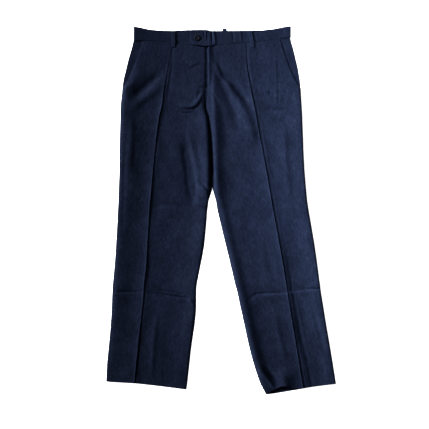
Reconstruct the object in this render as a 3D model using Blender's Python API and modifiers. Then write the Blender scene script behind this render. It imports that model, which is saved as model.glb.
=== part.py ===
"""Suit trousers laid flat on a surface with their front up, as solids a maker would cut and sew.

Left and right are the wearer's: with the front up and the waist towards +Y, the right leg lies at
-X. Tables are in millimetres. Across is measured along X from the centre front, and down is
measured from the waist's top line towards the hems.
"""

import math

import bmesh
import bpy
import numpy as np

MM = 0.001

# Cloth
WALL = 1.4
SEAM_GAP = 0.3
FRONT_GAP = 0.5
LAP_SPARE = 0.1
BAND_WALL = 2.1
LOOP_WALL = 1.5

# Heights of outer faces above the surface
BACK_TOP = WALL
SEAM_TOP = BACK_TOP + SEAM_GAP + WALL
BODY_TOP = 6.0
UNDER_FLAP_TOP = 5.2
FLAP_TOP = UNDER_FLAP_TOP + SEAM_GAP + WALL + LAP_SPARE
MOUTH_TOP = 5.3
BAND_BACK_TOP = BAND_WALL
BAND_TOP = BAND_BACK_TOP + SEAM_GAP + BAND_WALL + LAP_SPARE
TAB_TOP = BAND_TOP + SEAM_GAP + BAND_WALL
LOWEST_TOP = SEAM_TOP + 2 * LAP_SPARE

# Places that several pieces share
ROW_WAIST = 48
ROW_HEM = 1060
WAIST_FADE = 150
HEM_FADE = 160
FLY_END = 174
MOUTH_END = 171
CROTCH = 476
UNDERLAP_EDGE = -2
SEAT_CURVE = 1.3
RIGHT_HIP = -233
LEFT_HIP = 237
TAB_END = -64
TAB_CORNER = 7
TAB_FALLS = 2
TAB_SETTLES = 34

# Folded edges and creases. Shares are of a crease's rise, and of a fold's length at each end.
EDGE_ROUND = 9
FLY_SOFT = 34
FLY_FADE = 40
FLAP_LAP = 11.5
FLAP_LAP_PAST = 2
FLAP_FLAT = 17
CREASE_RISE = 2.6
CREASE_SOFT = 26
CREASE_DROP = 6
CREASE_HOLLOW_SHARE = 0.35
PLEAT_SEWN_SHARE = 0.15
PLEAT_END = 150
PLEAT_SEWN = 60
FOLD_FADE = 0.25

# The facing rises over a share of its width.
FACING_RISE = 0.4
FACING_ROUND = 1 / 3
FACING_SHORT = 2
FACING_ROWS = 10
FACING_SHARES = (0, 0.12, 0.35, 0.7, 1)

BAND_STEP = 22
BAND_CROWN = 0.25
BAND_SHARES = (0, 0.12, 0.5, 0.88, 1)
TAB_CORNER_SHARES = (0.08, 0.3, 0.6)

BUTTON_ACROSS = -43.5
BUTTON_DOWN = 25
BUTTON_RADIUS = 9
BUTTON_HEIGHT = 2.8
BUTTON_STEPS = 32
BUTTON_HOLE = 0.9
BUTTON_HOLE_OFF = 1.7
BUTTON_HOLE_STEPS = 12

LOOP_WIDTH = 12
LOOP_ROWS = 9
LOOP_TOP = 2.5
LOOP_END = 53
LOOP_BOW = 0.8
LOOP_FALL = (0.45, 0.75)
LOOP_RESTS = (42, 48, LOOP_END, LOOP_END + 6)
RIGHT_LOOP = (-113, -113)
LEFT_LOOP = (117, 124)
BACK_LOOP = 39
BACK_LOOP_TOP = -4
BACK_LOOP_END = 43
BACK_LOOP_WALL = 1.3
BACK_LOOP_ROWS = 4
BACK_LOOP_RISE = BACK_LOOP_WALL + SEAM_GAP
BACK_LOOP_FLAT = 8
BACK_LOOP_SPREAD = 16

ZIP_CENTRE = 1.2
ZIP_TOP = 52
ZIP_END = 164
TAPE_WALL = 0.8
TAPE_TOP = 2.9
TAPE_WIDTH = 24
TEETH_WIDTH = 4
TEETH_TOP = 62
TEETH_END = 160
TEETH_RISE = 1.2
TEETH_SLOPE_SIDE = 0.6
TEETH_SLOPE_END = 1
SLIDER_SIZE = (5, 8, 2.1)
SLIDER_ROUND = 0.5
SLIDER_DOWN = 57

LINE_COLUMNS = ("down", "side", "crease", "inner")

# The inner line is the centre-front seam as far as the crotch and the inseam below it.
RIGHT_LINES = (
    (0, -228, -105, -11),
    (33, -234, -108, -11),
    (56, -239, -117, -11),
    (84, -248, -126, -11),
    (114, -255, -131, -11),
    (150, -264, -137, -11),
    (174, -267, -142, -11),
    (178, -267, -142, -14),
    (222, -272, -147, -16.5),
    (240, -273, -150, -15.5),
    (258, -273, -156, -8.5),
    (324, -275, -165, -0.5),
    (369, -276, -170, 2.5),
    (423, -276, -175, 4.8),
    (453, -277, -178, 1.8),
    (476, -278, -180, 3),
    (492, -278, -181, -3.5),
    (510, -279, -183, -8.5),
    (546, -281, -186, -13),
    (591, -283, -189, -16),
    (654, -287, -192, -22.5),
    (690, -289, -193.5, -29.5),
    (762, -296, -202, -44),
    (786, -297.5, -203, -46),
    (828, -299, -206, -45.5),
    (870, -301, -211, -48.5),
    (942, -307.5, -220, -59),
    (996, -313, -225, -65.5),
    (1060, -316, -230, -72.5),
    (1100, -317, -233, -79),
)
LEFT_LINES = (
    (0, 231, 104, -11),
    (33, 237, 105, -11),
    (56, 244, 106, -11),
    (84, 251, 106.5, -11),
    (114, 258, 109, -11),
    (150, 264, 115.5, -11),
    (174, 266.5, 120, -11),
    (178, 267, 121, -14),
    (222, 270, 130, -16.5),
    (240, 271, 133, -15.5),
    (258, 272, 137, -8.5),
    (324, 274.5, 149, -0.5),
    (369, 276, 158, 2.5),
    (423, 279, 168, 4.8),
    (453, 281.5, 173.5, 1.8),
    (476, 283.5, 177.5, 3),
    (492, 285, 180, 8),
    (510, 286.5, 183, 12.5),
    (546, 292, 189.5, 18.5),
    (591, 300, 197.5, 29),
    (654, 310.5, 209, 44.5),
    (690, 315.5, 215, 53.5),
    (762, 325, 227, 70),
    (786, 328, 231, 77),
    (828, 335, 237.5, 85.5),
    (870, 341.5, 245, 95),
    (942, 354, 257, 110.5),
    (996, 363, 265.5, 124),
    (1060, 373, 276, 145.5),
    (1100, 378, 282, 167),
)

# Each column is a line across the garment: the waist's top edge, the waistband's seam and the hems.
WAIST_COLUMNS = ("across", "top", "seam")
WAIST_LINES = (
    (-236, -10, 33),
    (-222, -9, 33),
    (-194, -1, 33.5),
    (-154, 2.5, 34),
    (-105, 3.5, 41),
    (-88, 1, 43),
    (-61, 0.5, 44.5),
    (-11, 0.5, 50.5),
    (1, 4, 48.5),
    (20, 3.5, 46),
    (110, 2.5, 38),
    (157, 1, 34.5),
    (182, -1.5, 30),
    (228, -10.5, 24),
    (240, -12, 23),
)
# The back waistband's seam runs straight from each hip to the back loop.
BACK_SEAM_COLUMNS = ("across", "seam")
BACK_SEAM_LINES = (
    (-236, 30),
    (39, 47),
    (240, 22),
)
HEM_COLUMNS = ("across", "front", "back")
HEM_LINES = (
    (-320, 1054, 1053),
    (-228, 1059, 1058),
    (-154, 1067.5, 1066.5),
    (-74, 1077.5, 1076.5),
    (-60, 1079, 1078),
    (160, 1091, 1093),
    (165, 1090.5, 1093),
    (191, 1077, 1089.5),
    (205, 1069, 1087),
    (218, 1064.5, 1085),
    (235, 1074, 1082.5),
    (260, 1075.5, 1078),
    (305, 1070, 1069.5),
    (374, 1060.5, 1060),
)
POCKET_COLUMNS = ("down", "mouth", "under")
POCKET_LINES = (
    (20, 202, 184),
    (37, 207, 189),
    (70, 218, 200),
    (111, 232.5, 214),
    (152, 252, 232),
    (167, 261, 240),
)

# How high the fronts' edges lie: along the pocket mouth and side seam, then along the inside edge.
EDGE_COLUMNS = ("down", "side", "inner_right", "inner_left")
EDGE_HEIGHTS = (
    (0, MOUTH_TOP, UNDER_FLAP_TOP, FLAP_TOP),
    (158, MOUTH_TOP, UNDER_FLAP_TOP, FLAP_TOP),
    (180, MOUTH_TOP, UNDER_FLAP_TOP, FLAP_TOP),
    (205, SEAM_TOP, 4.6, 4.6),
    (330, SEAM_TOP, 4.0, 4.0),
    (476, SEAM_TOP, 3.4, 3.4),
    (510, SEAM_TOP, SEAM_TOP, SEAM_TOP),
    (1100, SEAM_TOP, SEAM_TOP, SEAM_TOP),
)
BODY_COLUMNS = ("down", "height")
BODY_HEIGHTS = (
    (0, 5.6),
    (60, BODY_TOP),
    (140, 7.4),
    (320, 7.8),
    (520, 7.0),
    (780, 6.2),
    (1000, 5.8),
    (1100, 5.4),
)

# Largest folds of each front: rise (a trough's is below zero), spread to each side, and its path.
FOLD_COLUMNS = ("rise", "spread", "path")
RIGHT_FOLD_ROWS = (
    (-2.0, 9, ((-140, 116), (-180, 146), (-214, 174), (-262, 204))),
    (1.6, 12, ((-136, 140), (-178, 166), (-210, 194), (-258, 226))),
    (2.6, 9, ((-112, 226), (-92, 235), (-60, 236), (-38, 218), (-24, 180))),
    (-1.6, 7, ((-116, 242), (-90, 251), (-62, 252), (-40, 240))),
    (3.2, 22, ((-52, 250), (-42, 310), (-32, 380), (-24, 470))),
    (-2.2, 10, ((-86, 300), (-78, 345), (-66, 405), (-56, 480), (-52, 530))),
    (-1.8, 5, ((-32, 456), (-18, 472), (2, 490))),
    (2.4, 7, ((-62, 516), (-36, 526), (-2, 536))),
    (-1.8, 5, ((-34, 506), (-18, 514), (0, 524))),
    (2.4, 26, ((-222, 250), (-232, 420), (-238, 560))),
    (-1.8, 6, ((-300, 786), (-212, 785), (-196, 788), (-120, 797), (-40, 808))),
    (1.4, 8, ((-300, 800), (-210, 799), (-120, 811), (-40, 821))),
    (-1.4, 14, ((-112, 812), (-124, 930), (-138, 1090))),
    (1.3, 14, ((-84, 830), (-98, 940), (-108, 1090))),
)
LEFT_FOLD_ROWS = (
    (-2.4, 8, ((20, 118), (38, 138), (65, 154), (90, 190), (118, 228))),
    (2.2, 10, ((4, 84), (20, 120), (40, 160), (74, 206))),
    (3.0, 22, ((60, 190), (88, 240), (112, 300), (122, 360))),
    (-2.2, 12, ((26, 205), (40, 290), (38, 369), (50, 465), (74, 520))),
    (2.0, 18, ((14, 250), (18, 340), (20, 430), (30, 500))),
    (0.9, 5, ((194, 74), (194, 150), (195, 236))),
    (-1.4, 8, ((170, 186), (184, 188), (196, 196))),
    (2.4, 28, ((214, 260), (226, 420), (242, 560))),
    (-1.8, 6, ((60, 812), (116, 808), (137, 791), (217, 787), (254, 779), (345, 776))),
    (1.4, 8, ((60, 826), (120, 820), (140, 805), (217, 801), (256, 793), (345, 790))),
    (-1.5, 9, ((160, 1006), (182, 1032), (206, 1064))),
    (9.0, 17, ((222, 1004), (217, 1040), (215, 1150))),
    (-1.3, 9, ((308, 984), (330, 1010), (352, 1030))),
    (1.3, 6, ((241, 753), (257, 831), (277, 933), (292, 993), (304, 1140))),
    (-1.4, 6, ((236, 800), (249, 860), (268, 940), (281, 1000), (292, 1140))),
)

# The button's section, from the middle of its top down its outer side to the middle below, as
# shares of its radius and its height.
BUTTON_COLUMNS = ("out", "up")
BUTTON_SECTION = (
    (0, 0.72),
    (0.56, 0.72),
    (0.66, 0.92),
    (0.82, 1),
    (0.95, 0.86),
    (1, 0.55),
    (0.93, 0.2),
    (0.6, 0),
    (0, 0),
)

# Lines of points across the panels: steps in from a front's edges, lines from there to the crease,
# and lines across a back.
EDGE_STEPS = (0, 3, EDGE_ROUND)
LINES_TO_CREASE = 6
LINES_PAST_CREASE = 7
FRONT_COLUMNS = 2 * len(EDGE_STEPS) + LINES_TO_CREASE + 1 + LINES_PAST_CREASE
BACK_COLUMNS = 8

# Places across at which a waistband bends, over the back loop and where the tab comes down.
BUMP_PLACES = (2, 10, 18, 23, 27, 31, 39, 47, 51, 55)

# Down the garment: where each band of rows ends and how far apart the rows in it are.
BAND_COLUMNS = ("end", "step")
ROW_BANDS = (
    (240, 12),
    (480, 20),
    (744, 33),
    (828, 9),
    (996, 28),
    (1060, 13),
)
# Rows that stand at their own places: on each side of the fly's end, under its bulge, at the crotch.
KEY_ROWS = (FLY_END - 2, FLY_END + 4, 258, CROTCH)
KEY_ROW_CLEAR = 4

# A place across and its distance down depend on each other, so they are worked out this many times.
PASSES = 3

CLOTH_COLOUR = (0.020, 0.026, 0.042)
HORN_COLOUR = (0.012, 0.012, 0.014)
TAPE_COLOUR = (0.010, 0.012, 0.020)
BRASS_COLOUR = (0.30, 0.24, 0.14)


def table(columns, rows):
    """Each column's values by its name."""
    return {name: [row[i] for row in rows] for i, name in enumerate(columns)}


RIGHT = table(LINE_COLUMNS, RIGHT_LINES)
LEFT = table(LINE_COLUMNS, LEFT_LINES)
WAIST = table(WAIST_COLUMNS, WAIST_LINES)
BACK_SEAM = table(BACK_SEAM_COLUMNS, BACK_SEAM_LINES)
HEM = table(HEM_COLUMNS, HEM_LINES)
POCKET = table(POCKET_COLUMNS, POCKET_LINES)
EDGE = table(EDGE_COLUMNS, EDGE_HEIGHTS)
BODY = table(BODY_COLUMNS, BODY_HEIGHTS)
RIGHT_FOLDS = table(FOLD_COLUMNS, RIGHT_FOLD_ROWS)
LEFT_FOLDS = table(FOLD_COLUMNS, LEFT_FOLD_ROWS)
BUTTON = table(BUTTON_COLUMNS, BUTTON_SECTION)
BANDS = table(BAND_COLUMNS, ROW_BANDS)


def read(lines, of, column, at):
    """A table's column at one place, on straight lines between its rows."""
    return np.interp(at, lines[of], lines[column])


def ramp(value, start, end):
    """0 before start, 1 after end, and a smooth rise between."""
    t = np.clip((value - start) / (end - start), 0, 1)
    return t * t * (3 - 2 * t)


def material(name, colour, roughness, metallic=0.0):
    """A plain finish."""
    made = bpy.data.materials.new(name)
    made.use_nodes = True
    shader = made.node_tree.nodes["Principled BSDF"]
    shader.inputs["Base Color"].default_value = (*colour, 1)
    shader.inputs["Roughness"].default_value = roughness
    shader.inputs["Metallic"].default_value = metallic
    made.diffuse_color = (*colour, 1)
    return made


def add_object(name, mesh, finish, collection):
    """An object of one finish, put in a collection."""
    mesh.materials.append(finish)
    made = bpy.data.objects.new(name, mesh)
    collection.objects.link(made)
    return made


def cloth_wall(name, grid, wall, finish, collection):
    """A wall hung below a grid of outer-face points, rows down the garment, in millimetres."""
    grid = np.array(grid, float)
    if grid[0, 0, 0] > grid[0, -1, 0]:
        grid = grid[:, ::-1]
    rows, columns = grid.shape[:2]
    points = [(across * MM, -down * MM, top * MM) for across, down, top in grid.reshape(-1, 3)]
    faces = []
    for i in range(rows - 1):
        for j in range(columns - 1):
            first = i * columns + j
            faces.append((first, first + columns, first + columns + 1, first + 1))
    mesh = bpy.data.meshes.new(name)
    mesh.from_pydata(points, [], faces)
    mesh.shade_smooth()
    made = add_object(name, mesh, finish, collection)
    shell = made.modifiers.new("Wall", "SOLIDIFY")
    shell.thickness = wall * MM
    shell.offset = -1
    shell.use_even_offset = False
    return made


def path_reach(path, across, down):
    """How far a point lies from a fold's path, and how far along the path it is, from 0 to 1."""
    points = np.array(path, float)
    lengths = np.linalg.norm(np.diff(points, axis=0), axis=1)
    starts = np.concatenate([[0], np.cumsum(lengths)])
    best, along = math.inf, 0.0
    for k, length in enumerate(lengths):
        way = (points[k + 1] - points[k]) / length
        gone = float(np.clip((across - points[k][0]) * way[0] + (down - points[k][1]) * way[1], 0, length))
        near = points[k] + gone * way
        off = math.hypot(across - near[0], down - near[1])
        if off < best:
            best, along = off, (starts[k] + gone) / starts[-1]
    return best, along


def folds_height(folds, across, down):
    """What the folds add to a front's height at one point. A fold fades out at both ends."""
    height = 0.0
    for rise, spread, path in zip(folds["rise"], folds["spread"], folds["path"]):
        off, along = path_reach(path, across, down)
        fade = ramp(along, 0, FOLD_FADE) * ramp(1 - along, 0, FOLD_FADE)
        height += rise * fade * math.exp(-((off / spread) ** 2))
    return height


def crease_height(off, down):
    """The pressed crease: a soft rise up to it from the right leg's side and a sharp drop past it."""
    pressed = PLEAT_SEWN_SHARE + (1 - PLEAT_SEWN_SHARE) * ramp(down, PLEAT_SEWN, PLEAT_END)
    rise = CREASE_RISE * pressed
    if off <= 0:
        return rise * math.exp(off / CREASE_SOFT)
    hollow = -CREASE_HOLLOW_SHARE * rise
    if off < CREASE_DROP:
        return rise + (hollow - rise) * off / CREASE_DROP
    return hollow * math.exp(-(off - CREASE_DROP) / CREASE_SOFT)


def row_downs():
    """The rows' places down the garment, closer together where the folds are."""
    downs = [float(ROW_WAIST)]
    for end, step in zip(BANDS["end"], BANDS["step"]):
        start = downs[-1]
        count = max(1, round((end - start) / step))
        downs += [start + (end - start) * (k + 1) / count for k in range(count)]
    clear = [down for down in downs if all(abs(down - key) > KEY_ROW_CLEAR for key in KEY_ROWS)]
    return sorted([*clear, *KEY_ROWS])


def tilted(nominal, across, hem):
    """How far down a row lies at a point, because the first row follows the waist and the last the hem."""
    waist = WAIST if hem == "front" else BACK_SEAM
    up = (read(waist, "across", "seam", across) + SEAM_GAP - ROW_WAIST) * (
        1 - ramp(nominal, ROW_WAIST, ROW_WAIST + WAIST_FADE)
    )
    low = (read(HEM, "across", hem, across) - ROW_HEM) * ramp(nominal, ROW_HEM - HEM_FADE, ROW_HEM)
    return nominal + up + low


def settle(place, moved, down):
    """A point whose place across depends on how far down it lies, and the other way round."""
    for _ in range(PASSES):
        across = place(down)
        down = moved(across)
    return across, down


def front_columns(side, crease, inner):
    """Places across one row of a front, closest together at its edges and along its crease."""
    toward = 1 if inner > side else -1
    outer = [side + toward * step for step in EDGE_STEPS]
    last = [inner - toward * step for step in reversed(EDGE_STEPS)]
    near, far = crease - CREASE_DROP, crease + CREASE_DROP
    if toward < 0:
        near, far = far, near
    rise = list(np.linspace(outer[-1], near, LINES_TO_CREASE + 1))[1:]
    fall = list(np.linspace(far, last[0], LINES_PAST_CREASE + 1))[:-1]
    return [*outer, *rise, crease, *fall, *last]


def side_line(lines, down, mirror):
    """A front's outer edge: the pocket's mouth, then the side seam."""
    seam = read(lines, "down", "side", down)
    if down >= MOUTH_END:
        return seam
    mouth = mirror * read(POCKET, "down", "mouth", down)
    joined = ramp(down, POCKET["down"][-1], MOUTH_END)
    return mouth + (seam - mouth) * joined


def inner_line(lines, down, mirror):
    """A front's inside edge, kept off the other front's. The right one runs on under the flap."""
    if mirror < 0 and down < FLY_END:
        return UNDERLAP_EDGE
    return read(lines, "down", "inner", down) + mirror * FRONT_GAP / 2


def front_top(lines, folds, mirror, across, down):
    """The height of a front's outer face at one point."""
    fly = 1 - ramp(down, FLY_END, FLY_END + FLY_FADE)
    if mirror > 0:
        inner_column = "inner_left"
        lap = FLAP_FLAT * fly
    else:
        inner_column = "inner_right"
        lap = FLAP_LAP if down < FLY_END + FLAP_LAP_PAST else 0
    soft = EDGE_ROUND + (FLY_SOFT - EDGE_ROUND) * fly
    from_crease = across - read(lines, "down", "crease", down)
    top = read(BODY, "down", "height", down)
    top += folds_height(folds, across, down) + crease_height(from_crease, down)
    top = max(top, LOWEST_TOP)
    edges = (
        (side_line(lines, down, mirror), "side", 0, EDGE_ROUND),
        (inner_line(lines, down, mirror), inner_column, lap, soft),
    )
    for edge, column, flat, reach in edges:
        low = read(EDGE, "down", column, down)
        share = min(max(abs(across - edge) - flat, 0) / reach, 1)
        top = low + (top - low) * math.sin(share * math.pi / 2)
    return top


def front(name, lines, folds, mirror, finish, collection):
    """A front panel, from the waistband's seam to the hem."""

    def places(down):
        return front_columns(
            side_line(lines, down, mirror),
            read(lines, "down", "crease", down),
            inner_line(lines, down, mirror),
        )

    grid = []
    for nominal in row_downs():
        row = []
        for column in range(FRONT_COLUMNS):
            across, down = settle(
                lambda at: places(at)[column], lambda at: tilted(nominal, at, "front"), nominal
            )
            row.append((across, down, front_top(lines, folds, mirror, across, down)))
        grid.append(row)
    return cloth_wall(name, grid, WALL, finish, collection)


def seat_line(lines, down):
    """The back panels' inside edge: the seat seam from the back loop to the crotch, then the inseam."""
    inseam = read(lines, "down", "inner", down)
    if down >= CROTCH:
        return inseam
    rest = (CROTCH - down) / (CROTCH - ROW_WAIST)
    foot = read(lines, "down", "inner", CROTCH)
    return foot + (BACK_LOOP - foot) * min(rest, 1) ** SEAT_CURVE


def back(name, lines, mirror, finish, collection):
    """A back panel, flat on the surface."""

    def place(down, share):
        side = read(lines, "down", "side", down)
        inner = seat_line(lines, down) + mirror * SEAM_GAP / 2
        return side + (inner - side) * share

    grid = []
    for nominal in row_downs():
        row = []
        for share in np.linspace(0, 1, BACK_COLUMNS):
            across, down = settle(
                lambda at: place(at, share), lambda at: tilted(nominal, at, "back"), nominal
            )
            row.append((across, down, BACK_TOP))
        grid.append(row)
    return cloth_wall(name, grid, WALL, finish, collection)


def pocket_facing(name, lines, mirror, finish, collection):
    """The hip's own piece of cloth, which shows in the pocket's mouth and runs on under the front."""
    end = POCKET["down"][-1] - FACING_SHORT

    def place(down, share):
        side = read(lines, "down", "side", down)
        under = mirror * read(POCKET, "down", "under", down)
        return side + (under - side) * share

    def fallen(across, fall):
        first = read(WAIST, "across", "seam", across) + SEAM_GAP
        return first + (end - first) * fall

    grid = []
    for fall in np.linspace(0, 1, FACING_ROWS):
        row = []
        for share in FACING_SHARES:
            across, down = settle(lambda at: place(at, share), lambda at: fallen(at, fall), ROW_WAIST)
            rise = FACING_RISE * math.sin(min(share / FACING_ROUND, 1) * math.pi / 2)
            row.append((across, down, SEAM_TOP + rise))
        grid.append(row)
    return cloth_wall(name, grid, WALL, finish, collection)


def over_back_loop(across):
    """How far the layers of the waist are lifted by the belt loop that lies under them."""
    return BACK_LOOP_RISE * (1 - ramp(abs(across - BACK_LOOP), BACK_LOOP_FLAT, BACK_LOOP_SPREAD))


def tab_height(across):
    """The front left band lies over the right one as far as the centre front, then comes down."""
    return TAB_TOP - (TAB_TOP - BAND_TOP) * ramp(across, TAB_FALLS, TAB_SETTLES)


def front_band_height(_across):
    """The front right band is level."""
    return BAND_TOP


def back_band_height(_across):
    """The back bands rest on the surface."""
    return BAND_BACK_TOP


def corner_inset(off, corner):
    """How far a rounded corner's edge lies in, at a distance from the end of its piece."""
    if off >= corner:
        return 0.0
    return corner - math.sqrt(corner * corner - (corner - off) ** 2)


def band(name, start, end, height, seam, corner, finish, collection):
    """A stretch of waistband from one place across to another, crowned a little between its edges."""
    count = round((end - start) / BAND_STEP)
    places = sorted({*np.linspace(start + corner, end, count + 1), *BUMP_PLACES, start})
    places = [p for p in places if start <= p <= end]
    if corner:
        places = sorted({*places, *(start + share * corner for share in TAB_CORNER_SHARES)})
    grid = []
    for share in BAND_SHARES:
        row = []
        for across in places:
            inset = corner_inset(across - start, corner)
            high = read(WAIST, "across", "top", across) + inset
            low = read(seam, "across", "seam", across) - inset
            drop = BAND_CROWN if share in (0, 1) else 0
            top = height(across) + over_back_loop(across) - drop
            row.append((across, high + (low - high) * share, top))
        grid.append(row)
    return cloth_wall(name, grid, BAND_WALL, finish, collection)


def loop_rest(lines, folds, mirror, centre):
    """How high the front's cloth lies under a belt loop's lower end."""
    return max(
        front_top(lines, folds, mirror, centre + off, down)
        for off in (-LOOP_WIDTH / 2, 0, LOOP_WIDTH / 2)
        for down in LOOP_RESTS
    )


def belt_loop(name, ends, low, finish, collection):
    """A belt loop over the front waistband, sewn at the band's top edge and below its seam."""
    grid = []
    for share in np.linspace(0, 1, LOOP_ROWS):
        centre = ends[0] + (ends[1] - ends[0]) * share
        down = LOOP_TOP + read(WAIST, "across", "top", centre) * (1 - share) + (LOOP_END - LOOP_TOP) * share
        fallen = ramp(share, *LOOP_FALL)
        top = BAND_TOP + (low - BAND_TOP) * fallen + SEAM_GAP + LOOP_WALL
        top += LOOP_BOW * math.sin(share * math.pi)
        row = [(centre + LOOP_WIDTH * k, down, top) for k in (-0.5, 0, 0.5)]
        grid.append(row)
    return cloth_wall(name, grid, LOOP_WALL, finish, collection)


def belt_loop_back(finish, collection):
    """The centre-back loop, flat under the back waistband, with its fold just above the waist's edge."""
    grid = []
    for down in np.linspace(BACK_LOOP_TOP, BACK_LOOP_END, BACK_LOOP_ROWS):
        row = [(BACK_LOOP + LOOP_WIDTH * k, down, BACK_LOOP_WALL) for k in (-0.5, 0, 0.5)]
        grid.append(row)
    return cloth_wall("belt_loop_back", grid, BACK_LOOP_WALL, finish, collection)


def fly_zip(finish, collection):
    """The zip's tapes with its closed teeth as one raised rib, under the fly's flap."""
    half = TEETH_WIDTH / 2
    foot = half + TEETH_SLOPE_SIDE
    columns = (-TAPE_WIDTH / 2, -foot, -half, half, foot, TAPE_WIDTH / 2)
    rows = (
        ZIP_TOP,
        TEETH_TOP - TEETH_SLOPE_END,
        TEETH_TOP,
        TEETH_END,
        TEETH_END + TEETH_SLOPE_END,
        ZIP_END,
    )
    grid = []
    for down in rows:
        row = []
        for off in columns:
            raised = TEETH_TOP <= down <= TEETH_END and abs(off) <= half
            row.append((ZIP_CENTRE + off, down, TAPE_TOP + TEETH_RISE * raised))
        grid.append(row)
    return cloth_wall("fly_zip", grid, TAPE_WALL, finish, collection)


def zip_slider(finish, collection):
    """The zip's slider, closed at the top of its teeth."""
    mesh = bpy.data.meshes.new("zip_slider")
    shape = bmesh.new()
    bmesh.ops.create_cube(shape, size=1)
    bmesh.ops.scale(shape, vec=[side * MM for side in SLIDER_SIZE], verts=shape.verts)
    shape.to_mesh(mesh)
    shape.free()
    made = add_object("zip_slider", mesh, finish, collection)
    base = TAPE_TOP + SEAM_GAP + SLIDER_SIZE[2] / 2
    made.location = (ZIP_CENTRE * MM, -SLIDER_DOWN * MM, base * MM)
    rounding = made.modifiers.new("Rounding", "BEVEL")
    rounding.width = SLIDER_ROUND * MM
    rounding.segments = 2
    return made


def button(name, finish, collection, cutters):
    """A turned button with a sunk middle and four holes, sewn to the tab."""
    mesh = bpy.data.meshes.new(name)
    section = zip(BUTTON["out"], BUTTON["up"])
    points = [(out * BUTTON_RADIUS * MM, 0, up * BUTTON_HEIGHT * MM) for out, up in section]
    mesh.from_pydata(points, [(k, k + 1) for k in range(len(points) - 1)], [])
    made = add_object(name, mesh, finish, collection)
    turn = made.modifiers.new("Turned", "SCREW")
    turn.steps = turn.render_steps = BUTTON_STEPS
    turn.use_merge_vertices = True
    turn.merge_threshold = 0.00001
    turn.use_smooth_shade = True

    holes = bpy.data.meshes.new("button_holes")
    shape = bmesh.new()
    for across in (-1, 1):
        for down in (-1, 1):
            hole = bmesh.ops.create_cone(
                shape,
                cap_ends=True,
                segments=BUTTON_HOLE_STEPS,
                radius1=BUTTON_HOLE * MM,
                radius2=BUTTON_HOLE * MM,
                depth=4 * BUTTON_HEIGHT * MM,
            )
            off = (across * BUTTON_HOLE_OFF * MM, down * BUTTON_HOLE_OFF * MM, 0)
            bmesh.ops.translate(shape, vec=off, verts=hole["verts"])
    shape.to_mesh(holes)
    shape.free()
    cutter = bpy.data.objects.new("button_holes", holes)
    cutters.objects.link(cutter)
    cutter.hide_render = True
    cutter.display_type = "WIRE"
    cut = made.modifiers.new("Holes", "BOOLEAN")
    cut.operation = "DIFFERENCE"
    cut.solver = "EXACT"
    cut.object = cutter
    made.location = (BUTTON_ACROSS * MM, -BUTTON_DOWN * MM, (TAB_TOP + SEAM_GAP) * MM)
    cutter.parent = made
    return made


def centre_on_origin(objects):
    """Stands the garment on the surface with the middle of its box over the origin."""
    graph = bpy.context.evaluated_depsgraph_get()
    corners = []
    for made in objects:
        corners += [made.matrix_world @ v.co for v in made.evaluated_get(graph).data.vertices]
    low = [min(p[i] for p in corners) for i in range(3)]
    high = [max(p[i] for p in corners) for i in range(3)]
    stand = bpy.data.objects.new("trousers", None)
    objects[0].users_collection[0].objects.link(stand)
    stand.location = (-(low[0] + high[0]) / 2, -(low[1] + high[1]) / 2, -low[2])
    for made in objects:
        made.parent = stand


def main():
    for old in list(bpy.data.objects):
        bpy.data.objects.remove(old, do_unlink=True)
    parts = bpy.data.collections.new("suit_trousers")
    bpy.context.scene.collection.children.link(parts)
    cutters = bpy.data.collections.new("cutters")
    cutters.hide_render = True
    bpy.context.scene.collection.children.link(cutters)
    cloth = material("suiting", CLOTH_COLOUR, 0.85)
    horn = material("button_horn", HORN_COLOUR, 0.35)
    tape = material("zip_tape", TAPE_COLOUR, 0.9)
    brass = material("zip_metal", BRASS_COLOUR, 0.4, metallic=1.0)
    right_rest = loop_rest(RIGHT, RIGHT_FOLDS, -1, RIGHT_LOOP[1])
    left_rest = loop_rest(LEFT, LEFT_FOLDS, 1, LEFT_LOOP[1])
    made = [
        front("front_right", RIGHT, RIGHT_FOLDS, -1, cloth, parts),
        front("front_left", LEFT, LEFT_FOLDS, 1, cloth, parts),
        back("back_right", RIGHT, -1, cloth, parts),
        back("back_left", LEFT, 1, cloth, parts),
        pocket_facing("pocket_facing_right", RIGHT, -1, cloth, parts),
        pocket_facing("pocket_facing_left", LEFT, 1, cloth, parts),
        band("waistband_front_right", RIGHT_HIP, UNDERLAP_EDGE, front_band_height, WAIST, 0, cloth, parts),
        band("waistband_front_left", TAB_END, LEFT_HIP, tab_height, WAIST, TAB_CORNER, cloth, parts),
        band(
            "waistband_back_right", RIGHT_HIP, BACK_LOOP - SEAM_GAP / 2,
            back_band_height, BACK_SEAM, 0, cloth, parts,
        ),
        band(
            "waistband_back_left", BACK_LOOP + SEAM_GAP / 2, LEFT_HIP,
            back_band_height, BACK_SEAM, 0, cloth, parts,
        ),
        belt_loop("belt_loop_front_right", RIGHT_LOOP, right_rest, cloth, parts),
        belt_loop("belt_loop_front_left", LEFT_LOOP, left_rest, cloth, parts),
        belt_loop_back(cloth, parts),
        fly_zip(tape, parts),
        zip_slider(brass, parts),
        button("button_waist", horn, parts, cutters),
    ]
    bpy.context.view_layer.update()
    centre_on_origin(made)


main()
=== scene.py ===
"""Looks of suit trousers laid flat with their front up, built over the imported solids.

Left and right are the wearer's. Tables are in millimetres: across is measured along X from the
centre front, and down is measured from the waist's top line towards the hems.
"""

import math
from collections import namedtuple

import bmesh
import bpy
import numpy as np
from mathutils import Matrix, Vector
from mathutils.bvhtree import BVHTree


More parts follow.
